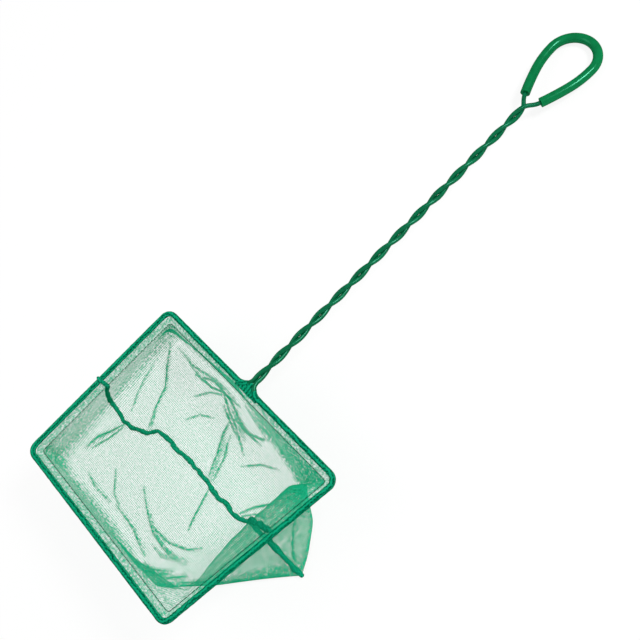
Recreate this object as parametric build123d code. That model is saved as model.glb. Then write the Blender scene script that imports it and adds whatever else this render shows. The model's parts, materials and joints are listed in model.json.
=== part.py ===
from build123d import *
import os
from math import asin, cos, pi, radians, sin, sqrt

# A hand fish net for an aquarium, lying on a table. One coated steel wire makes the hoop, the
# twisted handle and the hanging loop, so all of them lie in one plane, which slopes down to the
# loop. The bag hangs from the hoop and its floor lies on the table, which is z = 0. Sizes in mm.

# Wire: a steel core in a PVC coat
core_d = 1.8
coat_t = 0.4
core_clear = 0.02

# Hoop, measured on the wire's centre line, seen square to its plane
handle_side = 150.0
far_side = 136.0
hoop_reach = 114.0
far_shift = -7.0
corner_r = 5.0
mouth_height = 40.0

# Handle: both ends of the wire, twisted together
neck_half = 9.0
first_crossing = 15.2
half_turn = 16.0
half_turns = 13
strand_gap = 0.1

# Hanging loop at the handle's end, in a vinyl grip sleeve
loop_length = 57.5
loop_r = 14.6
bare_length = 9.8
bare_half_width = 5.8
bare_angle = 24.0
wire_end_gap = 1.0
sleeve_d = 5.7
sleeve_clear = 0.05

# Hem: the net's edge, folded round the hoop's wire and sewn shut just inside it
hem_t = 0.5
hem_clear = 0.05
hem_tail = 3.2
hem_tail_t = 0.9
hem_lean = 45.0
thread_d = 0.4
thread_back = 0.6
thread_clear = 0.02

# Bag: two net panels, sewn together along a seam that runs down one end, along the floor and up
net_t = 0.8
net_clear = 0.3
floor_half_length = 80.0
near_edge_in = 14.0
far_edge_out = 8.0
left_corner_out = 3.0
near_right_corner_in = 23.0
far_right_corner_in = 41.0
seam_d = 2.4
seam_clear = 0.1
seam_bend_r = 4.0

# What follows from the sizes above
coat_d = core_d + 2 * coat_t
strand_r = (coat_d + strand_gap) / 2
twist_start = first_crossing - half_turn / 2
twist_end = first_crossing + half_turn * half_turns
quarter_turns = 2 * half_turns + 1
loop_end = twist_end + loop_length
crown_v = loop_end - loop_r
hem_bore_d = coat_d + 2 * hem_clear
hem_d = hem_bore_d + 2 * hem_t
hem_reach = hem_d / 2 + hem_tail
slope = asin((mouth_height - sleeve_d / 2) / loop_end)
back_reach = hoop_reach * cos(slope) + max(hem_d / 2, far_edge_out)
front_reach = loop_end * cos(slope) + sleeve_d / 2
neck_y = (back_reach - front_reach) / 2
hoop_mid_y = neck_y - hoop_reach * cos(slope) / 2

# The wire's plane: u along the handle side, v along the handle, w up out of the mouth
wire_plane = Plane(
    origin=(0, neck_y, mouth_height), x_dir=(1, 0, 0), z_dir=(0, sin(slope), cos(slope))
)
hoop_corners = [
    Vector(-handle_side / 2, 0),
    Vector(far_shift - far_side / 2, -hoop_reach),
    Vector(far_shift + far_side / 2, -hoop_reach),
    Vector(handle_side / 2, 0),
]
hoop_points = [Vector(-neck_half, 0), *hoop_corners, Vector(neck_half, 0)]
UP = Vector(0, 0, 1)


def biarc(start, start_dir, end, end_dir):
    """Two arcs, tangent to each other, from one point and direction to another."""
    start_dir = start_dir.normalized()
    end_dir = end_dir.normalized()
    chord = end - start
    both = start_dir + end_dir
    spread = 4 - both.dot(both)
    ahead = chord.dot(both)
    reach = (sqrt(ahead**2 + spread * chord.dot(chord)) - ahead) / spread
    first_pole = start + start_dir * reach
    last_pole = end - end_dir * reach
    middle = (first_pole + last_pole) * 0.5
    return [
        Edge.make_tangent_arc(start, start_dir, middle),
        Edge.make_tangent_arc(middle, last_pole - first_pole, end),
    ]


def through(knots):
    """Edges of a smooth path through (point, direction) knots."""
    edges = []
    for (start, start_dir), (end, end_dir) in zip(knots, knots[1:]):
        edges += biarc(start, start_dir, end, end_dir)
    return edges


def backwards(knots):
    return [(point, direction * -1) for point, direction in reversed(knots)]


def strand_knots(side):
    """From the hoop (side -1 left, 1 right) through the twist to the start of the sleeve."""
    knots = [(Vector(side * neck_half, 0, 0), Vector(-side, 0, 0))]
    turn_rate = -pi / half_turn
    for quarter in range(quarter_turns + 1):
        v = twist_start + quarter * half_turn / 2
        angle = (0 if side > 0 else pi) + turn_rate * (v - twist_start)
        point = Vector(strand_r * cos(angle), v, strand_r * sin(angle))
        along = Vector(-point.Z * turn_rate, 1, point.X * turn_rate)
        knots.append((point, along))
    knots.append(sleeve_mouth(side))
    return knots


def sleeve_mouth(side):
    point = Vector(side * bare_half_width, twist_end + bare_length, 0)
    along = Vector(side * sin(radians(bare_angle)), cos(radians(bare_angle)), 0)
    return point, along


def loop_knots(side, end_gap):
    """From the sleeve's mouth round to half the gap short of the loop's far end."""
    turn = pi / 2 - end_gap / 2 / loop_r
    top = Vector(side * loop_r * cos(turn), crown_v + loop_r * sin(turn), 0)
    top_along = Vector(-side * sin(turn), cos(turn), 0)
    widest = Vector(side * loop_r, crown_v, 0)
    return [sleeve_mouth(side), (widest, Vector(0, 1, 0)), (top, top_along)]


def inset(points, distance, drop=0.0):
    """An open run of points round the mouth, moved in towards the mouth and down."""
    sides = [(b - a).normalized() for a, b in zip(points, points[1:])]
    normals = [UP.cross(side) for side in sides]
    before = [normals[0], *normals]
    after = [*normals, normals[-1]]
    moved = []
    for point, a, b in zip(points, before, after):
        moved.append(point + (a + b) * (distance / (1 + a.dot(b))) - UP * drop)
    return moved


def rounded(points, radius):
    """Edges of a path of straight runs with rounded corners."""
    return FilletPolyline(*points, radius=radius).edges()


def section_at(path, x_dir=None):
    start = path.position_at(0)
    along = path.tangent_at(0)
    return Plane(origin=start, x_dir=x_dir, z_dir=along)


def tube(edges, outer_d, inner_d=0.0, plane=wire_plane):
    """A round tube, or a round bar, along tangent edges drawn in a plane."""
    path = Wire(edges)
    profile = Circle(outer_d / 2)
    if inner_d > 0:
        profile -= Circle(inner_d / 2)
    return plane.location * sweep(section_at(path) * profile, path=path)


def hem_stretch(edges):
    """A stretch of the hem: a sleeve round the wire with a sewn tail, leaning into the mouth."""
    path = Wire(edges)
    tail_start = (hem_bore_d + hem_d) / 4
    tail_length = hem_reach - tail_start
    tail = Pos(tail_start + tail_length / 2, 0) * Rectangle(tail_length, hem_tail_t)
    profile = Circle(hem_d / 2) + Rot(0, 0, -hem_lean) * tail - Circle(hem_bore_d / 2)
    inward = UP.cross(path.tangent_at(0))
    return wire_plane.location * sweep(section_at(path, inward) * profile, path=path)


# Coated wire
hoop_run = rounded(hoop_points, corner_r)
left_strand = strand_knots(-1)
right_strand = strand_knots(1)
left_loop = loop_knots(-1, wire_end_gap)
right_loop = loop_knots(1, wire_end_gap)
whole_wire = [
    *through(backwards(left_loop)),
    *through(backwards(left_strand)),
    *hoop_run,
    *through(right_strand),
    *through(right_loop),
]
wire_length = sum(edge.length for edge in whole_wire)
strand_axes = [Wire(through(knots)) for knots in (left_strand, right_strand)]
core_gap = strand_axes[0].distance_to(strand_axes[1]) - core_d
coat_bore_d = core_d + 2 * core_clear
parts = {
    "steel_wire": tube(whole_wire, core_d),
    "hoop_coating": tube(hoop_run, coat_d, coat_bore_d),
    "handle_strand_left": tube(through(left_strand), coat_d, coat_bore_d),
    "handle_strand_right": tube(through(right_strand), coat_d, coat_bore_d),
    "loop_coating_left": tube(through(left_loop), coat_d, coat_bore_d),
    "loop_coating_right": tube(through(right_loop), coat_d, coat_bore_d),
}

# Grip sleeve, from mouth to mouth round the loop
sleeve_run = through(loop_knots(-1, 0)) + through(backwards(loop_knots(1, 0)))
parts["grip_sleeve"] = tube(sleeve_run, sleeve_d, coat_d + 2 * sleeve_clear)

# Hem, one stretch to each straight side, each with the corner that follows it
hem_names = ["hem_handle_left", "hem_left_end", "hem_far_side", "hem_right_end"]
for index, name in enumerate(hem_names):
    parts[name] = hem_stretch(hoop_run[2 * index : 2 * index + 2])
parts["hem_handle_right"] = hem_stretch(hoop_run[2 * len(hem_names) :])

# Stitch thread, laid on the hem's tail near its edge
lean = radians(hem_lean)
stitch_along = hem_reach - thread_back
stitch_above = (hem_tail_t + thread_d) / 2 + thread_clear
stitch_in = stitch_along * cos(lean) + stitch_above * sin(lean)
stitch_drop = stitch_along * sin(lean) - stitch_above * cos(lean)
stitch_points = inset(hoop_points, stitch_in, stitch_drop)
parts["hem_thread"] = tube(rounded(stitch_points, corner_r - stitch_in), thread_d)

# Bag: where its top edge hangs below the hem, and where its floor lies on the table
top_in = hem_reach * cos(lean)
top_drop = hem_reach * sin(lean) + hem_tail_t / 2 + net_clear


def with_end_points(corners):
    """Near-left, left end, far-left, far-right, right end, near-right, round the bag."""
    near_left, far_left, far_right, near_right = corners
    left_end = near_left + (far_left - near_left) * 0.5
    right_end = near_right + (far_right - near_right) * 0.5
    return [near_left, left_end, far_left, far_right, right_end, near_right]


def top_ring(margin):
    ring = inset(hoop_points, top_in + margin, top_drop)[1:-1]
    return [wire_plane.from_local_coords(point) for point in with_end_points(ring)]


def floor_ring(margin):
    """The floor lies askew under the hoop, and its right end runs out to a point."""
    near_left, far_left, far_right, near_right = hoop_corners
    near_y = neck_y - near_edge_in - margin
    far_y = neck_y - hoop_reach * cos(slope) - far_edge_out + margin
    corners = [
        Vector(near_left.X - left_corner_out + margin, near_y, margin),
        Vector(far_left.X - left_corner_out + margin, far_y, margin),
        Vector(far_right.X - far_right_corner_in - margin, far_y, margin),
        Vector(near_right.X - near_right_corner_in - margin, near_y, margin),
    ]
    ring = with_end_points(corners)
    ring[1] = Vector(margin - floor_half_length, hoop_mid_y, margin)
    ring[4] = Vector(floor_half_length - margin, hoop_mid_y, margin)
    return ring


def flat_face(*points):
    return Face(Wire.make_polygon(points))


def bag_block(margin):
    """The bag as a full block of flat facets, with its faces moved in by a margin."""
    top = top_ring(margin)
    floor = floor_ring(margin)
    faces = [flat_face(*top), flat_face(*floor)]
    for index in range(len(top)):
        after = (index + 1) % len(top)
        faces.append(flat_face(top[index], floor[index], floor[after]))
        faces.append(flat_face(top[index], floor[after], top[after]))
    return Solid(Shell(faces))


bag_shell = bag_block(0) - bag_block(net_t)
half_room = Box(4 * floor_half_length, 2 * hoop_reach, 4 * mouth_height)
half_offset = hoop_reach + seam_d / 2 + seam_clear
parts["net_panel_handle_side"] = bag_shell & Pos(0, hoop_mid_y + half_offset, 0) * half_room
parts["net_panel_far_side"] = bag_shell & Pos(0, hoop_mid_y - half_offset, 0) * half_room

# Seam: a round ridge between the panels, down one end, along the floor and up the other end
seam_plane = Plane(origin=(0, hoop_mid_y, 0), x_dir=(1, 0, 0), z_dir=(0, -1, 0))
seam_tops = [top_ring(0)[1], top_ring(0)[4]]
seam_outline = [
    Vector(seam_tops[0].X, seam_tops[0].Z),
    Vector(-floor_half_length, 0),
    Vector(floor_half_length, 0),
    Vector(seam_tops[1].X, seam_tops[1].Z),
]
seam_run = rounded(inset(seam_outline, seam_d / 2), seam_bend_r)
parts["left_end_seam"] = tube(seam_run[:1], seam_d, plane=seam_plane)
parts["bottom_seam"] = tube(seam_run[1:-1], seam_d, plane=seam_plane)
parts["right_end_seam"] = tube(seam_run[-1:], seam_d, plane=seam_plane)

os.makedirs("parts", exist_ok=True)
for name, solid in parts.items():
    export_step(solid, f"parts/{name}.step")
    print(name, round(solid.volume, 1))
core_volume = wire_length * pi * core_d**2 / 4
print("wire length", round(wire_length, 1), "section times length", round(core_volume, 1))
print("least gap between the twisted cores", round(core_gap, 3))
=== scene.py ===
import json
from math import cos, pi, radians, sin, sqrt

import bpy
import numpy as np
from mathutils import Matrix, Vector, noise


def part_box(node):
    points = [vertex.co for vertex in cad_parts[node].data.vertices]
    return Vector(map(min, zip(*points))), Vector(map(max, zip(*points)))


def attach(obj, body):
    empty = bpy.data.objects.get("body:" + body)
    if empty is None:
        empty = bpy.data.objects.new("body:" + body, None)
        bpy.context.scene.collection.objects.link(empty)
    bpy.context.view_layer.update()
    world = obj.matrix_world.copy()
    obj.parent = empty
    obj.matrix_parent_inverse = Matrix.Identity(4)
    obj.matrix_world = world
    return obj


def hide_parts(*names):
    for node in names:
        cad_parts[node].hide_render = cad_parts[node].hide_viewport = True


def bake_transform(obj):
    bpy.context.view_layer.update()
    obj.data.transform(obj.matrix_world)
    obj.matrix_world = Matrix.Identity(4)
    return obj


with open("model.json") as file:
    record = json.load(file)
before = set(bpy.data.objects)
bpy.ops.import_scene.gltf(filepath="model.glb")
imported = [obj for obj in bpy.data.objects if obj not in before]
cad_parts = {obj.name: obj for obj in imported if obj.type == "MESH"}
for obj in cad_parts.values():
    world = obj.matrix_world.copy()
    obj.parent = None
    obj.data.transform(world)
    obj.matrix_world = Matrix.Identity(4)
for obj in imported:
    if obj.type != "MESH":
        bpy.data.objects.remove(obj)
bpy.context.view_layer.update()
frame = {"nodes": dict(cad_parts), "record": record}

# The net's sizes and places are in millimetres, in the frame's axes, and become metres in the meshes.
# Cut sizes, the relief of materials, the floor and the lights are in metres.
MM = 0.001

# The wire's plane, read from the frame: the hoop's coat and the loop's axis
WIRE_R = 1.3
hoop_low, hoop_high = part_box("hoop_coating")
NECK_Y = hoop_high.y / MM - WIRE_R
NECK_Z = hoop_low.z / MM + WIRE_R
mounts = {mount["name"]: mount for mount in frame["record"]["mounts"]}
PLANE_UP = np.array(mounts["hanging_loop"]["axis"], float)
PLANE_UP /= np.linalg.norm(PLANE_UP)
ALONG_HANDLE = np.array([0, PLANE_UP[2], -PLANE_UP[1]])
ACROSS = np.array([1.0, 0, 0])

# The hoop's corners in that plane, from the left of the neck round to its right
NECK_HALF = 9.0
HANDLE_SIDE_HALF = 75.0
FAR_LEFT = -75.0
FAR_RIGHT = 61.0
HOOP_REACH = 114.0
CORNER_R = 5.0
HOOP_ROUND = [
    (-HANDLE_SIDE_HALF, 0),
    (FAR_LEFT, -HOOP_REACH),
    (FAR_RIGHT, -HOOP_REACH),
    (HANDLE_SIDE_HALF, 0),
]

# Hem: a wrap round the wire, and a skirt down to the stitch line
WRAP_R = 1.65
STITCH_IN = 4.6
STITCH_DROP = 3.2

# Net: from one thread to the next
MESH_PITCH = 1.1


def on_plane(u, v, w=0.0):
    """A point by its place across the hoop, along the handle and above the wire's plane."""
    return np.array([0, NECK_Y, NECK_Z]) + u * ACROSS + v * ALONG_HANDLE + w * PLANE_UP


def rounded_route(corners, radius, step):
    """Points about one step apart along straight runs, with an arc at each inner corner."""
    corners = [np.array(corner, float) for corner in corners]
    stops = [corners[0]]
    for before, corner, after in zip(corners, corners[1:], corners[2:]):
        back = (before - corner) / np.linalg.norm(before - corner)
        on = (after - corner) / np.linalg.norm(after - corner)
        half = np.arccos(np.clip(back @ on, -1, 1)) / 2
        reach = radius / np.tan(half)
        middle = corner + (back + on) / np.linalg.norm(back + on) * radius / np.sin(half)
        first = corner + back * reach - middle
        last = corner + on * reach - middle
        turn = np.arccos(np.clip(first @ last / radius**2, -1, 1))
        for share in np.linspace(0, 1, 9):
            blend = np.sin((1 - share) * turn) * first + np.sin(share * turn) * last
            stops.append(middle + blend / np.sin(turn))
    stops.append(corners[-1])
    return evenly(np.array(stops), step)


def evenly(points, step):
    """The same route with points one step apart."""
    lengths = np.r_[0, np.cumsum(np.linalg.norm(np.diff(points, axis=0), axis=1))]
    count = max(2, int(lengths[-1] / step) + 1)
    places = np.linspace(0, lengths[-1], count)
    return np.stack([np.interp(places, lengths, points[:, axis]) for axis in range(3)], 1)


def inset_hoop(distance):
    """The hoop's four corners, moved in from the wire."""
    moved = []
    corners = [np.array(corner, float) for corner in HOOP_ROUND]
    for index, corner in enumerate(corners):
        before = corners[index - 1] - corner
        after = corners[(index + 1) % len(corners)] - corner
        before /= np.linalg.norm(before)
        after /= np.linalg.norm(after)
        half_sine = sqrt((1 - before @ after) / 2)
        towards = (before + after) / np.linalg.norm(before + after)
        moved.append(corner + towards * distance / half_sine)
    return moved


def jitter(place, scale, seed):
    """Smooth noise from -1 to 1 at a place in millimetres."""
    return noise.noise(Vector(place) / scale + Vector((seed * 7.3, seed * 3.1, seed)))


def new_piece(name, points, faces, flat=None, weave=None):
    """A mesh piece from points in millimetres, with flat cloth places and thread widths."""
    mesh = bpy.data.meshes.new(name)
    mesh.from_pydata((np.asarray(points) * MM).tolist(), [], faces)
    mesh.update()
    corners = np.zeros(len(mesh.loops), int)
    mesh.loops.foreach_get("vertex_index", corners)
    if flat is not None:
        flat = np.asarray(flat, np.float32)
        layer = mesh.uv_layers.new(name="flat")
        layer.data.foreach_set("uv", (flat if len(flat) == len(corners) else flat[corners]).ravel())
    if weave is not None:
        attribute = mesh.attributes.new("weave", "FLOAT", "POINT")
        attribute.data.foreach_set("value", np.asarray(weave, np.float32))
    mesh.polygons.foreach_set("use_smooth", [True] * len(mesh.polygons))
    piece = bpy.data.objects.new(name, mesh)
    bpy.context.scene.collection.objects.link(piece)
    return piece


def grid_faces(rows, columns):
    """Four-sided faces between the points of a grid, row by row."""
    faces = []
    for row in range(rows - 1):
        for column in range(columns - 1):
            corner = row * columns + column
            faces.append((corner, corner + 1, corner + columns + 1, corner + columns))
    return faces


# A direction in which no tube sets out
OFF_ROUTE = (0.3, 0.2, 0.93)


def tube_points(route, radii, sides):
    """Rings round a route, with closed ends; returns points, faces and flat places."""
    along = np.gradient(route, axis=0)
    along /= np.linalg.norm(along, axis=1)[:, None]
    side = np.cross(along[0], OFF_ROUTE)
    lengths = np.r_[0, np.cumsum(np.linalg.norm(np.diff(route, axis=0), axis=1))]
    points, flat = [], []
    for place, direction, ring_radii, length in zip(route, along, radii, lengths):
        side -= direction * (side @ direction)
        side /= np.linalg.norm(side)
        up = np.cross(direction, side)
        for index in range(sides):
            angle = 2 * pi * index / sides
            radius = ring_radii[index]
            points.append(place + radius * (cos(angle) * side + sin(angle) * up))
            flat.append((radius * angle, length))
    faces = []
    for ring in range(len(route) - 1):
        for index in range(sides):
            after = (index + 1) % sides
            a, b = ring * sides, (ring + 1) * sides
            faces.append((a + index, a + after, b + after, b + index))
    faces.append(tuple(reversed(range(sides))))
    last = (len(route) - 1) * sides
    faces.append(tuple(range(last, last + sides)))
    return points, faces, flat


# Materials


def new_material(name):
    """A material with its node tree and its Principled shader."""
    material = bpy.data.materials.new(name)
    material.use_nodes = True
    tree = material.node_tree
    return material, tree, tree.nodes["Principled BSDF"]


def add(tree, kind, **settings):
    """A new node with some of its settings."""
    node = tree.nodes.new(kind)
    for key, value in settings.items():
        setattr(node, key, value)
    return node


def math(tree, operation, first, second=None):
    """The outcome of one sum, on numbers or on other nodes' outcomes."""
    node = add(tree, "ShaderNodeMath", operation=operation)
    for socket, value in zip(node.inputs, (first, second)):
        if isinstance(value, (int, float)):
            socket.default_value = value
        elif value is not None:
            tree.links.new(value, socket)
    return node.outputs[0]


def two_tone(tree, factor, dark, light):
    """A colour between dark and light, by a factor."""
    ramp = add(tree, "ShaderNodeValToRGB")
    ramp.color_ramp.elements[0].color = (*dark, 1)
    ramp.color_ramp.elements[1].color = (*light, 1)
    ramp.color_ramp.elements[0].position = 0.3
    ramp.color_ramp.elements[1].position = 0.7
    tree.links.new(factor, ramp.inputs[0])
    return ramp.outputs[0]


def speckle(tree, scale, detail=3.0):
    """Noise in the object's own space, with its scale in features per metre."""
    place = add(tree, "ShaderNodeTexCoord").outputs["Object"]
    texture = add(tree, "ShaderNodeTexNoise")
    texture.inputs["Scale"].default_value = scale
    texture.inputs["Detail"].default_value = detail
    tree.links.new(place, texture.inputs["Vector"])
    return texture.outputs["Fac"]


def bump(tree, shader, height, distance, strength=1.0):
    """Fine relief, with its depth in metres."""
    node = add(tree, "ShaderNodeBump")
    node.inputs["Distance"].default_value = distance
    node.inputs["Strength"].default_value = strength
    tree.links.new(height, node.inputs["Height"])
    tree.links.new(node.outputs[0], shader.inputs["Normal"])


# Plastic: the sheen's colour, its share, how far its roughness varies, and the relief of the drawing marks
SHEEN = (0.25, 1.0, 0.7, 1)
SHEEN_SHARE = 0.032
SHEEN_SPREAD = 0.1
MARK_DEPTH = 0.0002
MARK_STRENGTH = 0.12


def vinyl(name, dark, light, roughness):
    """PVC with faint mottling and drawing marks, and an uneven green sheen that doesn't grow at the rims."""
    material, tree, shader = new_material(name)
    mottle = speckle(tree, 260)
    tree.links.new(two_tone(tree, mottle, dark, light), shader.inputs["Base Color"])
    shader.inputs["Roughness"].default_value = 0.6
    shader.inputs["Specular IOR Level"].default_value = 0.0
    sheen = add(tree, "ShaderNodeBsdfGlossy")
    sheen.inputs["Color"].default_value = SHEEN
    uneven = math(tree, "MULTIPLY_ADD", speckle(tree, 1500, 2.0), SHEEN_SPREAD)
    uneven.node.inputs[2].default_value = roughness - SHEEN_SPREAD / 2
    tree.links.new(uneven, sheen.inputs["Roughness"])
    marks = speckle(tree, 420, 1.0)
    for part in (shader, sheen):
        bump(tree, part, marks, MARK_DEPTH, MARK_STRENGTH)
    mix = add(tree, "ShaderNodeMixShader")
    mix.inputs[0].default_value = SHEEN_SHARE
    tree.links.new(shader.outputs[0], mix.inputs[1])
    tree.links.new(sheen.outputs[0], mix.inputs[2])
    tree.links.new(mix.outputs[0], tree.nodes["Material Output"].inputs["Surface"])
    return material


# Threads: how uneven their widths are along them and from mesh to mesh. A net with threads wider than
# EVEN_WEAVE of its pitch is drawn together: its meshes grow uneven and close, at these rates. A part of the
# light goes through a thread.
UNEVEN_WIDTH = 2.4
UNEVEN_MESH = 0.65
EVEN_WEAVE = 0.2
UNEVEN_RATE = 12.0
CLOSING_RATE = 5.0
MESH_CLOSING = 0.72
THROUGH_SHARE = 0.45


def thread_pattern(tree, pitch):
    """How much of the light the net stops: threads of two directions and of uneven width on the flat cloth,
    with meshes that close where the net is drawn together."""
    flat = add(tree, "ShaderNodeUVMap", uv_map="flat").outputs[0]
    split = add(tree, "ShaderNodeSeparateXYZ")
    tree.links.new(flat, split.inputs[0])
    weave = add(tree, "ShaderNodeAttribute", attribute_name="weave").outputs["Fac"]
    uneven = math(tree, "MULTIPLY_ADD", speckle(tree, 800, 1.0), UNEVEN_WIDTH)
    uneven.node.inputs[2].default_value = 1 - UNEVEN_WIDTH / 2
    width = math(tree, "MULTIPLY", weave, uneven)
    cell = add(tree, "ShaderNodeVectorMath", operation="SNAP")
    tree.links.new(flat, cell.inputs[0])
    cell.inputs[1].default_value = (pitch, pitch, pitch)
    chance = add(tree, "ShaderNodeTexWhiteNoise", noise_dimensions="2D")
    tree.links.new(cell.outputs[0], chance.inputs["Vector"])
    extra = math(tree, "SUBTRACT", weave, EVEN_WEAVE)
    drawn = math(tree, "MULTIPLY", extra, UNEVEN_RATE)
    drawn.node.use_clamp = True
    chance = math(tree, "MULTIPLY", math(tree, "SUBTRACT", chance.outputs["Value"], 0.5), UNEVEN_MESH)
    chance = math(tree, "ADD", math(tree, "MULTIPLY", chance, drawn), 1.0)
    width = math(tree, "MULTIPLY", width, chance)
    masks = []
    for axis in (0, 1):
        share = math(tree, "FRACT", math(tree, "DIVIDE", split.outputs[axis], pitch))
        off = math(tree, "ABSOLUTE", math(tree, "SUBTRACT", share, 0.5))
        masks.append(math(tree, "LESS_THAN", math(tree, "MULTIPLY", off, 2.0), width))
    threads = math(tree, "MAXIMUM", masks[0], masks[1])
    open_share = math(tree, "SUBTRACT", 1.0, width)
    open_share.node.use_clamp = True
    cover = math(tree, "SUBTRACT", 1.0, math(tree, "MULTIPLY", open_share, open_share))
    closing = math(tree, "MULTIPLY", extra, CLOSING_RATE)
    closing.node.use_clamp = True
    closing = math(tree, "MULTIPLY", closing, MESH_CLOSING)
    change = math(tree, "MULTIPLY", math(tree, "SUBTRACT", cover, threads), closing)
    return math(tree, "ADD", threads, change)


def net_cloth(name, dark, light, pitch):
    """See-through nylon net: green threads that let some light through, and open meshes between them."""
    material, tree, shader = new_material(name)
    tone = two_tone(tree, speckle(tree, 700), dark, light)
    tree.links.new(tone, shader.inputs["Base Color"])
    shader.inputs["Roughness"].default_value = 0.6
    shader.inputs["Specular IOR Level"].default_value = 0.0
    bump(tree, shader, speckle(tree, 2400, 1.0), 0.0001, 0.4)
    through = add(tree, "ShaderNodeBsdfTranslucent")
    tree.links.new(tone, through.inputs[0])
    fibre = add(tree, "ShaderNodeMixShader")
    fibre.inputs[0].default_value = THROUGH_SHARE
    tree.links.new(shader.outputs[0], fibre.inputs[1])
    tree.links.new(through.outputs[0], fibre.inputs[2])
    hole = add(tree, "ShaderNodeBsdfTransparent")
    mix = add(tree, "ShaderNodeMixShader")
    tree.links.new(thread_pattern(tree, pitch), mix.inputs[0])
    tree.links.new(hole.outputs[0], mix.inputs[1])
    tree.links.new(fibre.outputs[0], mix.inputs[2])
    tree.links.new(mix.outputs[0], tree.nodes["Material Output"].inputs["Surface"])
    return material


RIDGE_CONTRAST = 0.2


def dense_cloth(name, dark, light, pitch, crossing, ridge_pitch=None):
    """Net folded so thick that it hides what is under it: crossing threads, with some contrast, and the
    folds' lengthwise lines."""
    material, tree, shader = new_material(name)
    flat = add(tree, "ShaderNodeUVMap", uv_map="flat").outputs[0]
    split = add(tree, "ShaderNodeSeparateXYZ")
    tree.links.new(flat, split.inputs[0])
    waves = []
    for sign in (1, -1):
        slant = math(tree, "MULTIPLY_ADD", split.outputs[0], sign)
        tree.links.new(split.outputs[1], slant.node.inputs[2])
        waves.append(math(tree, "SINE", math(tree, "MULTIPLY", slant, 2 * pi / pitch)))
    weave = math(tree, "MULTIPLY_ADD", math(tree, "MAXIMUM", waves[0], waves[1]), crossing)
    tree.links.new(speckle(tree, 900), weave.node.inputs[2])
    if ridge_pitch:
        bent = math(tree, "MULTIPLY_ADD", speckle(tree, 160, 1.0), ridge_pitch)
        tree.links.new(split.outputs[0], bent.node.inputs[2])
        ridge = math(tree, "SINE", math(tree, "MULTIPLY", bent, 2 * pi / ridge_pitch))
        weave = math(tree, "ADD", weave, math(tree, "MULTIPLY", ridge, RIDGE_CONTRAST))
    tree.links.new(two_tone(tree, weave, dark, light), shader.inputs["Base Color"])
    shader.inputs["Roughness"].default_value = 0.65
    shader.inputs["Specular IOR Level"].default_value = 0.0
    bump(tree, shader, weave, 0.0003, 0.7)
    return material


def brushed_steel(name, dark, light):
    """Drawn steel wire."""
    material, tree, shader = new_material(name)
    tree.links.new(two_tone(tree, speckle(tree, 900), dark, light), shader.inputs["Base Color"])
    shader.inputs["Metallic"].default_value = 1.0
    shader.inputs["Roughness"].default_value = 0.35
    return material


coat = vinyl("coat_green", dark=(0.0, 0.08, 0.028), light=(0.0, 0.122, 0.045), roughness=0.26)
grip = vinyl("grip_green", dark=(0.0, 0.115, 0.03), light=(0.0, 0.158, 0.044), roughness=0.2)
steel = brushed_steel("wire_steel", dark=(0.4, 0.41, 0.42), light=(0.6, 0.61, 0.62))
net = net_cloth("net_green", dark=(0.006, 0.4, 0.195), light=(0.022, 0.53, 0.29), pitch=MESH_PITCH)
hem_cloth = dense_cloth(
    "hem_green", dark=(0.0, 0.06, 0.027), light=(0.004, 0.3, 0.15), pitch=2.0, crossing=0.14, ridge_pitch=2.2
)
seam_cloth = dense_cloth(
    "seam_green", dark=(0.0, 0.09, 0.045), light=(0.006, 0.31, 0.16), pitch=1.8, crossing=0.3
)
thread = vinyl("thread_green", dark=(0.0, 0.065, 0.032), light=(0.002, 0.12, 0.06), roughness=0.5)

for node, material in {
    "steel_wire": steel,
    "hoop_coating": coat,
    "handle_strand_left": coat,
    "handle_strand_right": coat,
    "loop_coating_left": coat,
    "loop_coating_right": coat,
    "grip_sleeve": grip,
}.items():
    slots = frame["nodes"][node].data.materials
    slots.clear()
    slots.append(material)


# Hem: the wrap on the wire, the web between its two ends, the skirt inside it and the stitches along the
# skirt's edge

NECK_RISE = 7.2
NECK_IN = 7.65
NECK_TURN = radians(52)


def neck_bend(side, turn):
    """The wire's bend from the hoop (side -1 left, 1 right) up into the twist, after some turn."""
    return on_plane(side * (NECK_HALF - NECK_IN * sin(turn)), NECK_RISE * (1 - cos(turn)))


def hoop_route(step):
    """The wire's line from one bend at the neck, round the hoop, to the other."""
    corners = [(-NECK_HALF, 0), *HOOP_ROUND, (NECK_HALF, 0)]
    hoop = rounded_route([on_plane(*corner) for corner in corners], CORNER_R, step)
    turns = np.linspace(NECK_TURN, 0, 12, endpoint=False)
    start = [neck_bend(-1, turn) for turn in turns]
    end = [neck_bend(1, turn) for turn in turns[::-1]]
    return evenly(np.concatenate([start, hoop, end]), step)


def ring_route(distance, drop, radius, step):
    """A closed ring inside the hoop, starting and ending at the middle of the handle side."""
    corners = inset_hoop(distance)
    middle = (0, corners[0][1])
    return rounded_route([on_plane(*corner, -drop) for corner in (middle, *corners, middle)], radius, step)


WRAP_END_R = 1.42
WRAP_TAPER = 4.0
WRAP_SWELL = 0.09
WRAP_GRAIN = 0.1


def hem_wrap():
    """The net's edge folded round the wire: a tube with slow swells and a fine grain."""
    sides = 18
    step = 0.7
    route = hoop_route(step)
    radii = []
    for index, place in enumerate(route):
        end = min(min(index, len(route) - 1 - index) * step / WRAP_TAPER, 1)
        size = WRAP_END_R + (WRAP_R - WRAP_END_R) * end
        size += WRAP_SWELL * jitter(place, 9, 2)
        around = [(*place[:2], place[2] + 9 * k / sides) for k in range(sides)]
        radii.append([size + WRAP_GRAIN * jitter(spot, 1.6, 1) for spot in around])
    points, faces, flat = tube_points(route, radii, sides)
    return new_piece("hem_wrap", points, faces, flat)


WEB_TOP = 4.6
WEB_LOW = -2.6
WEB_HALF_T = 0.75
WEB_LAP = 0.4
WEB_SAG = 0.9
WEB_LUMPS = 0.4


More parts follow.
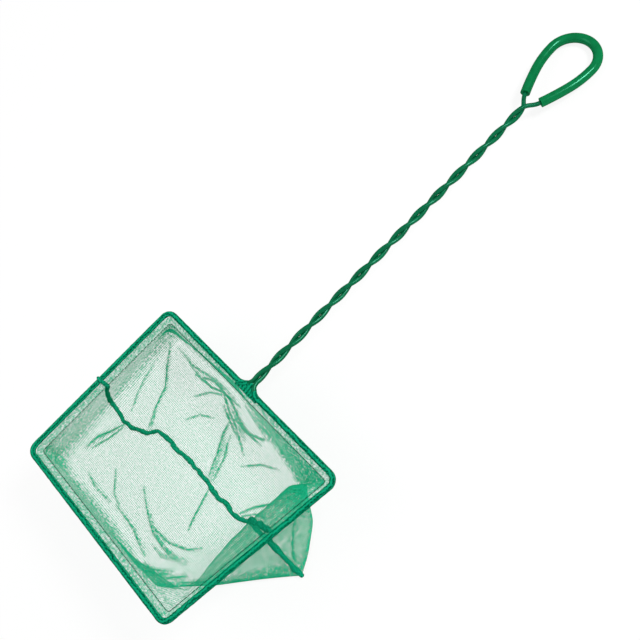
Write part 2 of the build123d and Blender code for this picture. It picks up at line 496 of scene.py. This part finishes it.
def hem_web():
    """The hem's cloth drawn across the neck between the two bends: a thin closed pad."""
    columns, rows = 41, 13
    points, flat = [], []
    for face in (1, -1):
        for row in range(rows):
            share = row / (rows - 1)
            for column in range(columns):
                u = NECK_HALF * (2 * column / (columns - 1) - 1)
                turn = np.arcsin(min((NECK_HALF - abs(u)) / NECK_IN, 1))
                top = min(NECK_RISE * (1 - cos(turn)) + WEB_LAP, WEB_TOP)
                v = WEB_LOW + (top - WEB_LOW) * share
                swell = sin(pi * share) ** 0.5 * WEB_HALF_T if 0 < share < 1 else 0.0
                swell *= 1 + WEB_LUMPS * jitter((u, v, face), 1.7, 21)
                w = face * swell - WEB_SAG * (1 - share)
                points.append(on_plane(u, v, w))
                flat.append((u, v))
    faces = grid_faces(rows, columns)
    back = rows * columns
    faces += [tuple(back + corner for corner in reversed(face)) for face in grid_faces(rows, columns)]
    for row in range(rows - 1):
        for column in (0, columns - 1):
            a, b = row * columns + column, (row + 1) * columns + column
            side = (a, b, back + b, back + a)
            faces.append(side if column == 0 else side[::-1])
    return new_piece("hem_web", points, faces, flat)


SKIRT_TOP_IN = 1.1
SKIRT_TOP_DROP = 1.5
SKIRT_FLAT_STEP = 0.8
SKIRT_FLAT_DEPTH = 6
SKIRT_WAVE = 0.35
SKIRT_WEAVE = (0.46, 0.4)


def hem_skirt():
    """The folded edge from the wrap's inner side to the stitch line, drawn as one denser net."""
    steps = 7
    count = 640
    rings = []
    for share in np.linspace(0, 1, steps):
        distance = SKIRT_TOP_IN + (STITCH_IN - SKIRT_TOP_IN) * share
        drop = SKIRT_TOP_DROP + (STITCH_DROP - SKIRT_TOP_DROP) * share**1.4
        ring = ring_route(distance, drop, max(1.5, CORNER_R - distance * 0.6), 0.4)
        places = np.linspace(0, len(ring) - 1, count)
        ring = np.stack([np.interp(places, np.arange(len(ring)), ring[:, axis]) for axis in range(3)], 1)
        for place in ring:
            place += PLANE_UP * SKIRT_WAVE * share * jitter(place, 7, 3)
        rings.append(ring)
    flat = []
    for share in np.linspace(0, 1, steps):
        flat += [(k * SKIRT_FLAT_STEP, SKIRT_FLAT_DEPTH * share) for k in range(count)]
    weave = np.repeat(np.linspace(*SKIRT_WEAVE, steps), count)
    points = np.concatenate(rings)
    return new_piece("hem_skirt", points, grid_faces(steps, count), flat, weave)


def hem_stitches():
    """A running stitch: short thread loops that dip in and out of the skirt's edge."""
    stitch = 2.3
    gap = 0.4
    radius = 0.24
    arch_height = 0.32
    sides = 6
    rings = 7
    route = ring_route(STITCH_IN, STITCH_DROP - 0.1, 2.0, 0.25)
    lengths = np.r_[0, np.cumsum(np.linalg.norm(np.diff(route, axis=0), axis=1))]
    points, faces, flat = [], [], []
    start = 0.0
    while start + stitch < lengths[-1]:
        places = np.linspace(start, start + stitch, rings)
        run = np.stack([np.interp(places, lengths, route[:, axis]) for axis in range(3)], 1)
        arch = np.sin(np.linspace(0, pi, rings)) * arch_height
        run += np.outer(arch, PLANE_UP)
        radii = [[radius] * sides] * rings
        new_points, new_faces, new_flat = tube_points(run, radii, sides)
        base = len(points)
        points += new_points
        faces += [tuple(base + corner for corner in face) for face in new_faces]
        flat += new_flat
        start += stitch + gap
    return new_piece("hem_stitches", points, faces, flat)


# Bag: each panel is drawn through rings of places, from the stitch line to the seam.
# Stations run from the seam at the left end, along a long side, to the seam at the right end.
STATIONS = [0.0, 0.2, 0.4, 0.6, 0.78, 0.86, 0.93, 1.0]
SEAM_STATIONS_X = [-74.5, -62, -43, 2, 32, 48, 64, 79]
SEAM_WAY = [
    (-74.5, -156.8), (-65, -154.9), (-55, -149.9), (-50.7, -144.3), (-44.5, -143.1), (-29, -142.7),
    (-9.6, -141.7), (4.4, -142.6), (11.7, -143.9), (16.8, -142.3), (23.5, -143.2), (30.7, -142.8),
    (34.4, -140.2), (40, -139.4), (52, -138.8), (79, -137.4),
]
SEAM_Z = 1.3
RIGHT_SEAM_SHARE = 0.37
LEFT_MID = (-79, -145, 28)
LEFT_FOOT = (-87, -152, 9)
LEFT_FLOOR = (-77.5, -156, 1.6)
RIGHT_FOLD = (45, -133.5, 20)
RIGHT_TIP = (79.8, -137.2, 2.6)
RIGHT_FLOOR = (78.6, -137.4, 1.6)

# Under the stitch line each side has a ring half way down its wall, one at the wall's foot and one on
# the floor.
HANDLE_SIDE_RINGS = [
    [
        LEFT_MID, (-79, -91, 24), (-27, -86, 22), (20, -90, 21),
        (57, -95, 21), (47.5, -105, 20), (46.5, -121, 20), RIGHT_FOLD,
    ],
    [
        LEFT_FOOT, (-89, -92.5, 7), (-28, -88.5, 6), (22, -97, 4.5),
        (50, -102, 4), (65.5, -111.5, 3), (75.5, -126.5, 2.8), RIGHT_TIP,
    ],
    [
        LEFT_FLOOR, (-76, -100, 1), (-28, -97, 1), (20, -105, 1),
        (42, -109, 1), (59, -117, 1), (71, -129, 1.3), RIGHT_FLOOR,
    ],
]
FAR_SIDE_RINGS = [
    [
        LEFT_MID, (-79, -196, 30), (-28, -197, 30), (10, -195, 28),
        (45, -186, 23), (43.5, -168, 20), (43, -150, 20), RIGHT_FOLD,
    ],
    [
        LEFT_FOOT, (-91, -204, 8), (-30, -204, 7), (0, -206, 6),
        (20, -205, 4), (46, -179, 3), (64, -156.5, 2.8), RIGHT_TIP,
    ],
    [
        LEFT_FLOOR, (-78, -194, 1), (-30, -194, 1), (-2, -196, 1),
        (16, -196, 1), (40, -173, 1), (60, -152, 1.3), RIGHT_FLOOR,
    ],
]

# Creases in the bag's floor: route, height, half width and how much denser the net is there.
# One wider than WIDE_FOLD is a flat fold that widens along its route. The others are lines with a faint edge.
CREASES = [
    ([(-84, -100), (-76, -112), (-67, -122), (-62, -136), (-57, -147)], 3.4, 0.9, 1.0),
    ([(-63, -133), (-59, -141), (-56.5, -147)], 2.0, 2.0, 0.7),
    ([(-84, -112), (-82, -125), (-79, -138), (-75, -149)], 1.6, 0.6, 0.5),
    ([(-72, -157), (-76, -166), (-80, -175), (-82, -186)], 3.0, 1.2, 1.0),
    ([(-71, -158), (-75, -172), (-79, -183)], 2.0, 0.7, 0.8),
    ([(-2, -140), (-8, -126), (-14, -115), (-16.5, -108)], 3.6, 1.0, 1.0),
    ([(0, -140), (-6, -128), (-11, -118)], 1.6, 2.6, 0.6),
    ([(1.5, -139), (-3, -125), (-10, -113)], 2.4, 0.7, 0.9),
    ([(3, -145), (6, -156), (10, -170)], 2.6, 0.7, 1.0),
    ([(-56, -103), (-42, -97), (-26, -98), (-10, -103), (3, -105)], 2.6, 0.9, 0.9),
    ([(-78, -99), (-61, -100), (-42, -96), (-23, -96)], 1.8, 0.8, 0.7),
    ([(-28, -103), (-17, -107), (-5, -111)], 2.4, 1.0, 0.9),
    ([(-23, -101), (-12, -103), (-2, -109)], 1.8, 2.4, 0.6),
    ([(-47, -113), (-40, -104), (-31, -99)], 1.6, 0.6, 0.7),
    ([(-41, -127), (-35, -118), (-26, -113)], 1.5, 0.6, 0.6),
    ([(-16, -103), (-4, -105), (10, -104)], 2.0, 0.7, 0.8),
    ([(9, -121), (18, -112), (29, -106)], 1.8, 0.6, 0.7),
    ([(28, -141), (33, -131), (41, -121)], 2.2, 0.7, 0.9),
    ([(30, -141), (36, -134), (42, -131)], 1.6, 0.6, 0.6),
    ([(-56, -180), (-45, -191), (-36, -193)], 1.8, 0.7, 0.6),
    ([(-38, -194), (-18, -195), (0, -200)], 2.6, 1.0, 0.9),
    ([(-32, -174), (-18, -182), (-6, -187), (5, -188), (18, -185)], 2.8, 0.9, 1.0),
    ([(-17, -181), (-9, -185), (5, -184), (18, -178), (24, -171)], 2.0, 0.8, 0.8),
    ([(-2, -192), (8, -192), (16, -187)], 1.8, 2.2, 0.6),
    ([(2, -203), (10, -201), (20, -193)], 2.6, 1.0, 1.0),
    ([(14, -202), (22, -196), (30, -187)], 2.4, 1.4, 1.0),
    ([(24, -198), (34, -188), (45, -176)], 2.2, 0.8, 0.8),
    ([(-70, -195), (-55, -197), (-42, -196)], 1.6, 0.9, 0.6),
    ([(55, -118), (62, -126), (69, -133), (74, -135.5)], 1.2, 1.1, 0.9),
    ([(-20, -106), (-10, -104), (0, -104), (8, -101), (14, -96)], 1.8, 0.6, 0.9),
    ([(-43, -96), (-35, -97), (-20, -104), (-11, -107), (-1, -112), (6, -116)], 2.0, 0.7, 0.8),
    ([(-36, -87), (-26, -88), (-17, -92)], 1.6, 0.6, 0.8),
    ([(-64, -101), (-52, -102), (-41, -101), (-33, -98), (-17, -97)], 1.6, 0.5, 1.0),
    ([(-15, -94), (-1, -96), (12, -98)], 1.5, 2.0, 0.6),
    ([(-11, -185), (0, -187), (13, -188), (22, -184)], 2.0, 2.1, 0.7),
    ([(4, -207), (12, -202), (20, -195)], 1.5, 0.8, 1.0),
]
CREASE_CORE = 0.52
CORE_COVER = 0.78
WIDE_FOLD = 1.9
FOLD_COVER = 0.6
CREASE_RISE = 0.65


def crease_height(places):
    """How far the floor stands up at places on it, and how close they are to a crease."""
    rise = np.zeros(len(places))
    nearness = np.zeros(len(places))
    for route, height, half_width, dense in CREASES:
        points = np.array(route, float)
        best = np.full(len(places), 1e9)
        share = np.zeros(len(places))
        runs = len(points) - 1
        for index in range(runs):
            run = points[index + 1] - points[index]
            along = np.clip((places - points[index]) @ run / (run @ run), 0, 1)
            away = np.linalg.norm(places - points[index] - along[:, None] * run, axis=1)
            nearer = away < best
            best = np.where(nearer, away, best)
            share = np.where(nearer, (index + along) / runs, share)
        taper = np.clip(1.25 * np.sin(pi * (0.08 + 0.84 * share)), 0, 1)
        rise = np.maximum(rise, CREASE_RISE * height * np.exp(-1.2 * best / half_width) * taper)
        if half_width > WIDE_FOLD:
            cover = FOLD_COVER * np.exp(-((best / half_width / (0.3 + 0.7 * share)) ** 4))
        else:
            cover = CORE_COVER * np.exp(-((best / CREASE_CORE) ** 2))
            cover += (1 - CORE_COVER) * np.exp(-((best / half_width / 1.5) ** 2))
        nearness = np.maximum(nearness, dense * cover * taper)
    return rise, nearness


def smoothed(values, reach):
    """A running mean along a ring, with its two ends left in place."""
    head = 2 * values[:1] - values[reach:0:-1]
    tail = 2 * values[-1:] - values[-2:-reach - 2:-1]
    padded = np.concatenate([head, values, tail])
    kernel = np.hanning(2 * reach + 3)[1:-1]
    kernel /= kernel.sum()
    return np.stack([np.convolve(padded[:, axis], kernel, "valid") for axis in range(3)], 1)


def top_ring(far):
    """The stitch line's half ring on one side of the seam, at the stations."""
    near_left, far_left, far_right, near_right = inset_hoop(STITCH_IN)
    left = (near_left + far_left) / 2
    right = near_right + (far_right - near_right) * RIGHT_SEAM_SHARE
    first, last = (far_left, far_right) if far else (near_left, near_right)
    steps = [left, first, first + (last - first) / 3, first + (last - first) * 2 / 3, last]
    steps += [last + (right - last) * 0.4, last + (right - last) * 0.7, right]
    return [on_plane(*step, -STITCH_DROP) for step in steps]


def seam_ring():
    """The bag's bottom seam at the stations' places across, along its wandering way."""
    way = np.array(SEAM_WAY)
    x = np.interp(np.linspace(0, 1, ACROSS_COUNT), STATIONS, SEAM_STATIONS_X)
    return np.stack([x, np.interp(x, way[:, 0], way[:, 1]), np.full(len(x), SEAM_Z)], 1)


# Points across a panel, how many of them a ring is smoothed over on each side, the times at which the curves
# pass the rings, and the rows of points from ring to ring
ACROSS_COUNT = 430
RING_SMOOTHING = (5, 12, 10, 12)
SEAM_SMOOTHING = 4
RING_TIMES = np.array([0.0, 1.0, 2.0, 2.6, 4.0])
MID_TIME, FOOT_TIME, FLOOR_TIME, SEAM_TIME = RING_TIMES[1:]
CURVE_PULL = 0.8
ROW_COUNTS = (26, 36, 22, 106)
DOWN_TIMES = np.concatenate([
    np.linspace(start, end, count, endpoint=end == SEAM_TIME)
    for start, end, count in zip(RING_TIMES, RING_TIMES[1:], ROW_COUNTS)
])

# The times over which the wall turns into loose floor, and the floor is held again by the seam
FLOOR_FADE = 0.35
SEAM_FADE = 0.25

# Thread widths, as shares of the pitch: on the walls at the stations, on the floor, on the end flap and in
# creases, then what is added along folded edges, where the handle side is gathered at the right end, at the
# corners and in streaks
HANDLE_SIDE_WEAVE = [0.38, 0.44, 0.54, 0.68, 0.76, 0.46, 0.3, 0.28]
FAR_SIDE_WEAVE = [0.38, 0.5, 0.62, 0.56, 0.3, 0.3, 0.28, 0.28]
FLOOR_WEAVE = 0.168
FLAP_WEAVE = 0.255
CREASE_WEAVE = 1.0
EDGE_WEAVE = 0.6
GATHER_WEAVE = 0.6
CORNER_WEAVE = 0.22
STREAK_WEAVE = 0.14
WEAVE_LIMITS = (0.1, 0.95)

# Where these are along the stations, and how far they reach there
HELD_REACH = 0.06
LEFT_CORNER_REACH = 0.03
RIGHT_CORNER_REACH = 0.035
GATHER_PLACE = 0.83
GATHER_REACH = 0.05
FLAP_START = 0.72
FLAP_FULL = 0.86
RIGHT_END_START = 0.74
RIGHT_END_REACH = 0.06

# How far they reach up and down from their ring, in the curves' time
GATHER_DOWN = 0.4
FAR_EDGE = 0.2
HANDLE_EDGE = 0.07
MID_EDGE = 0.05
MID_EDGE_SHARE = 0.7

# Streaks in the walls: how many down from ring to ring, and along a panel
STREAKS_DOWN = 8
STREAKS_ALONG = 14

# Ripples: their lengths, how far they push the walls, and the least height of the bag's net above the table
RIPPLE = 16
FINE_RIPPLE = 5.5
WALL_PUSH = 1.6
LEAST_Z = 0.25


def hermite(rings, time):
    """A smooth curve through the rings, at one time."""
    index = min(int(np.searchsorted(RING_TIMES, time, "right")) - 1, len(rings) - 2)
    span = RING_TIMES[index + 1] - RING_TIMES[index]
    share = (time - RING_TIMES[index]) / span
    before = max(index - 1, 0)
    after = min(index + 2, len(rings) - 1)
    slope_a = (rings[index + 1] - rings[before]) / (RING_TIMES[index + 1] - RING_TIMES[before])
    slope_b = (rings[after] - rings[index]) / (RING_TIMES[after] - RING_TIMES[index])
    a = 2 * share**3 - 3 * share**2 + 1
    b = share**3 - 2 * share**2 + share
    c = 3 * share**2 - 2 * share**3
    d = share**3 - share**2
    pull = b * span * slope_a * CURVE_PULL
    return a * rings[index] + pull + c * rings[index + 1] + d * span * slope_b * CURVE_PULL


def unfolded(rows, foot):
    """Places on the flat cloth for each corner of each face: walls by lengths along and up them, the floor
    by its plan."""
    along = np.linalg.norm(np.diff(rows, axis=1), axis=2)
    along = np.concatenate([np.zeros((len(rows), 1)), np.cumsum(along, 1)], 1)
    along -= along[:, along.shape[1] // 2, None]
    down = np.linalg.norm(np.diff(rows, axis=0), axis=2)
    down = np.concatenate([np.zeros((1, rows.shape[1])), np.cumsum(down, 0)])
    walls = np.stack([along, down], 2)
    corners = []
    for source, first, last in ((walls, 0, foot), (rows[:, :, :2], foot, len(rows) - 1)):
        high, low = source[first:last], source[first + 1:last + 1]
        quads = np.stack([high[:, :-1], high[:, 1:], low[:, 1:], low[:, :-1]], 2)
        corners.append(quads.reshape(-1, 2))
    return np.concatenate(corners)


def net_panel(name, far):
    """One half of the bag: smooth curves through its rings, then ripples, creases and the threads' widths."""
    places = np.linspace(0, 1, ACROSS_COUNT)
    rings = []
    side_rings = FAR_SIDE_RINGS if far else HANDLE_SIDE_RINGS
    for reach, ring in zip(RING_SMOOTHING, [top_ring(far), *side_rings]):
        ring = np.array(ring, float)
        ring = np.stack([np.interp(places, STATIONS, ring[:, axis]) for axis in range(3)], 1)
        rings.append(smoothed(ring, reach))
    rings.append(smoothed(seam_ring(), SEAM_SMOOTHING))
    rows = np.array([hermite(rings, time) for time in DOWN_TIMES])
    wall = np.clip(1 - np.abs(DOWN_TIMES - MID_TIME), 0, 1)
    floor = np.clip((DOWN_TIMES - FOOT_TIME) / FLOOR_FADE, 0, 1)
    loose = floor * np.clip((SEAM_TIME - DOWN_TIMES) / SEAM_FADE, 0, 1)
    foot = int(np.argmin(np.abs(DOWN_TIMES - FOOT_TIME)))
    tangent = np.gradient(rows[foot][:, :2], axis=0)
    out = np.stack([tangent[:, 1], -tangent[:, 0]], 1) / np.linalg.norm(tangent, axis=1)[:, None]
    out *= 1 if far else -1
    flat = unfolded(rows, foot)
    weave = np.zeros(rows.shape[:2])
    held = np.clip(np.minimum(places, 1 - places) / HELD_REACH, 0, 1)
    left_pull = np.exp(-((places - STATIONS[1]) / LEFT_CORNER_REACH) ** 2)
    right_pull = np.exp(-((places - STATIONS[4]) / RIGHT_CORNER_REACH) ** 2)
    corner_pull = left_pull + right_pull
    corner_dense = left_pull if far else corner_pull
    gathered = (0 if far else GATHER_WEAVE) * np.exp(-((places - GATHER_PLACE) / GATHER_REACH) ** 2)
    wall_weave = np.interp(places, STATIONS, FAR_SIDE_WEAVE if far else HANDLE_SIDE_WEAVE)
    floor_weave = np.interp(places, [FLAP_START, FLAP_FULL], [FLOOR_WEAVE, FLAP_WEAVE])
    right_end = np.clip((places - RIGHT_END_START) / RIGHT_END_REACH, 0, 1)
    edge_width = FAR_EDGE if far else HANDLE_EDGE
    for row, time in enumerate(DOWN_TIMES):
        rise, near = crease_height(rows[row][:, :2])
        for column in range(ACROSS_COUNT):
            place = rows[row, column]
            ripple = jitter((place[0], place[1], place[2] * 0.3), RIPPLE, 4)
            fine = jitter((place[0], place[1], place[2] * 0.15), FINE_RIPPLE, 7)
            fold = (0.9 * ripple + 0.5 * fine) * (0.6 + 1.4 * corner_pull[column])
            place[:2] += out[column] * fold * wall[row] * held[column] * WALL_PUSH
            lift = 0.7 * (ripple + 0.6) + 0.35 * fine
            place[2] += max(lift, 0) * loose[row] * held[column] + rise[column] * floor[row]
        taut = 1 - floor[row]
        edge = np.exp(-((time - FOOT_TIME) / edge_width) ** 2)
        edge += MID_EDGE_SHARE * np.exp(-((time - MID_TIME) / MID_EDGE) ** 2)
        spots = [(time * STREAKS_DOWN, along * STREAKS_ALONG, 0) for along in places]
        streak = np.array([jitter(spot, 1, 31) for spot in spots])
        weave[row] = floor_weave + (wall_weave - floor_weave) * taut
        weave[row] += (CREASE_WEAVE - FLOOR_WEAVE) * near * floor[row]
        weave[row] += (CORNER_WEAVE * corner_dense + STREAK_WEAVE * streak) * taut
        weave[row] += EDGE_WEAVE * edge * right_end
        weave[row] += gathered * np.exp(-((time - MID_TIME) / GATHER_DOWN) ** 2)
    rows[:, :, 2] = np.maximum(rows[:, :, 2], LEAST_Z)
    points = rows.reshape(-1, 3)
    faces = grid_faces(len(DOWN_TIMES), ACROSS_COUNT)
    return new_piece(name, points, faces, flat, np.clip(weave.ravel(), *WEAVE_LIMITS)), rows


# Seam ridge: from ring to ring, rings in a taper, an end's share of the thickness, how far the ridge wanders,
# and the least heights of its middle and its underside
SEAM_STEP = 0.6
SEAM_TAPER = 12
SEAM_END_SHARE = 0.6
SEAM_WANDER = np.array([0.3, 1.0, 0.15]) * 0.9
SEAM_MIDDLE_Z = 0.6
SEAM_LOW_Z = 0.05


def seam_ridge(name, route, seed, thick):
    """A lumpy ridge of overlocked net edges along a route, tapered over some steps at its ends."""
    sides = 12
    route = evenly(np.array(route, float), SEAM_STEP)
    radii = []
    for index, place in enumerate(route):
        end = min(index, len(route) - 1 - index) / SEAM_TAPER
        size = thick * (SEAM_END_SHARE + (1 - SEAM_END_SHARE) * min(end, 1))
        size *= 1 + 0.3 * jitter(place, 6, seed) + 0.2 * jitter(place, 2.2, seed + 1)
        radii.append([size * (1 + 0.16 * jitter(place + 3.7 * k, 1.5, seed + 2)) for k in range(sides)])
        place += SEAM_WANDER * min(end, 1) * jitter((place[0], 0, 0), 5, seed + 4)
        place[2] = max(place[2], SEAM_MIDDLE_Z)
    points, faces, flat = tube_points(route, radii, sides)
    points = np.array(points)
    points[:, 2] = np.maximum(points[:, 2], SEAM_LOW_Z)
    return new_piece(name, points, faces, flat)


wrap = hem_wrap()
web = hem_web()
skirt = hem_skirt()
stitches = hem_stitches()
handle_panel, handle_rows = net_panel("net_handle_half", False)
far_panel = net_panel("net_far_half", True)[0]
left_wire = on_plane((FAR_LEFT - HANDLE_SIDE_HALF) / 2, -HOOP_REACH / 2)
right_wire = on_plane(
    HANDLE_SIDE_HALF + (FAR_RIGHT - HANDLE_SIDE_HALF) * RIGHT_SEAM_SHARE, -HOOP_REACH * RIGHT_SEAM_SHARE
)
SEAM_ON_HEM = 0.25
OVER_WIRE = WRAP_R + SEAM_ON_HEM
floor_row = int(np.argmin(np.abs(DOWN_TIMES - FLOOR_TIME)))
long_seam = seam_ridge(
    "seam_long",
    [
        left_wire - OVER_WIRE * ACROSS,
        left_wire + OVER_WIRE * (PLANE_UP - 0.5 * ACROSS),
        left_wire + OVER_WIRE * (PLANE_UP + 0.6 * ACROSS),
        *handle_rows[:floor_row:3, 0],
        *handle_rows[-1, ::6],
    ],
    seed=11,
    thick=1.4,
)
end_seam = seam_ridge(
    "seam_right_end",
    [right_wire + OVER_WIRE * (PLANE_UP * 0.6 - ACROSS), *handle_rows[:floor_row:3, -1]],
    seed=17,
    thick=1.6,
)

wrap.data.materials.append(hem_cloth)
web.data.materials.append(hem_cloth)
skirt.data.materials.append(net)
stitches.data.materials.append(thread)
for panel in (handle_panel, far_panel):
    panel.data.materials.append(net)
for seam in (long_seam, end_seam):
    seam.data.materials.append(seam_cloth)

# What moves with what: the hem stays on the wire, and the bag's pieces are baked where they are drawn and
# belong to no body
for piece in (wrap, web, skirt, stitches):
    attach(piece, "frame")
for piece in (handle_panel, far_panel, long_seam, end_seam):
    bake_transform(piece)

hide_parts("hem_handle_left", "hem_left_end", "hem_far_side", "hem_right_end", "hem_handle_right")
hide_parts("hem_thread")
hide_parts("net_panel_handle_side")
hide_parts("net_panel_far_side")
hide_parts("left_end_seam", "bottom_seam")
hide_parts("right_end_seam")


# Floor, light and camera


FLOOR_WHITE = (0.88, 0.88, 0.88, 1)
FLOOR_GLOW = 0.86


def floor_material():
    """White to the camera, with a part of its own shading, so that a soft shadow stays."""
    material, tree, shader = new_material("floor_white")
    shader.inputs["Base Color"].default_value = FLOOR_WHITE
    shader.inputs["Roughness"].default_value = 0.9
    glow = add(tree, "ShaderNodeEmission")
    light_path = add(tree, "ShaderNodeLightPath").outputs
    seen = math(tree, "MAXIMUM", light_path["Is Camera Ray"], light_path["Is Glossy Ray"])
    seen = math(tree, "MAXIMUM", seen, light_path["Is Transmission Ray"])
    mix = add(tree, "ShaderNodeMixShader")
    tree.links.new(math(tree, "MULTIPLY", seen, FLOOR_GLOW), mix.inputs[0])
    tree.links.new(shader.outputs[0], mix.inputs[1])
    tree.links.new(glow.outputs[0], mix.inputs[2])
    tree.links.new(mix.outputs[0], tree.nodes["Material Output"].inputs["Surface"])
    return material


FLOOR_HALF = 20.0
FLOOR_DROP = 0.0002
floor_mesh = bpy.data.meshes.new("floor")
floor_signs = ((-1, -1), (1, -1), (1, 1), (-1, 1))
floor_corners = [(x * FLOOR_HALF, y * FLOOR_HALF, -FLOOR_DROP) for x, y in floor_signs]
floor_mesh.from_pydata(floor_corners, [], [(0, 1, 2, 3)])
floor = bpy.data.objects.new("floor", floor_mesh)
floor.data.materials.append(floor_material())
bpy.context.scene.collection.objects.link(floor)


def area_light(name, place, target, size, watts):
    """A round soft light, with its place and size in metres."""
    light = bpy.data.lights.new(name, "AREA")
    light.shape = "DISK"
    light.size = size
    light.energy = watts
    lamp = bpy.data.objects.new(name, light)
    lamp.location = place
    lamp.rotation_euler = (Vector(target) - Vector(place)).to_track_quat("-Z", "Y").to_euler()
    bpy.context.scene.collection.objects.link(lamp)


area_light("key", place=(0.5, 0.7, 0.95), target=(0, 0, 0), size=0.36, watts=11)
area_light("fill", place=(-0.6, -0.6, 1.0), target=(0, -0.1, 0), size=0.9, watts=4)

world = bpy.data.worlds.new("studio")
bpy.context.scene.world = world
world.use_nodes = True
background = world.node_tree.nodes["Background"]
background.inputs["Color"].default_value = (1, 1, 1, 1)
SKY_LEVEL = 0.62
sky_seen = add(world.node_tree, "ShaderNodeLightPath").outputs["Is Camera Ray"]
sky = math(world.node_tree, "MULTIPLY_ADD", sky_seen, 1 - SKY_LEVEL)
sky.node.inputs[2].default_value = SKY_LEVEL
world.node_tree.links.new(sky, background.inputs["Strength"])

CAMERA_PLACE = Vector((241.8, -8.5, 472.1)) * MM
CAMERA_TARGET = Vector((-15.7, -26.1, 0)) * MM
CAMERA_ROLL = radians(-52.7)
CAMERA_LENS = 50.6
ahead = (CAMERA_TARGET - CAMERA_PLACE).normalized()
level = ahead.cross(Vector((0, 0, 1))).normalized()
lifted = level.cross(ahead)
right = level * cos(CAMERA_ROLL) + lifted * sin(CAMERA_ROLL)
camera_data = bpy.data.cameras.new("camera")
camera_data.lens = CAMERA_LENS
camera_data.sensor_width = 36.0
camera_data.clip_start = 0.01
camera = bpy.data.objects.new("camera", camera_data)
turned = Matrix((right, right.cross(ahead), -ahead)).transposed()
camera.matrix_world = Matrix.Translation(CAMERA_PLACE) @ turned.to_4x4()
bpy.context.scene.collection.objects.link(camera)
bpy.context.scene.camera = camera
bpy.context.scene.view_settings.view_transform = "Standard"
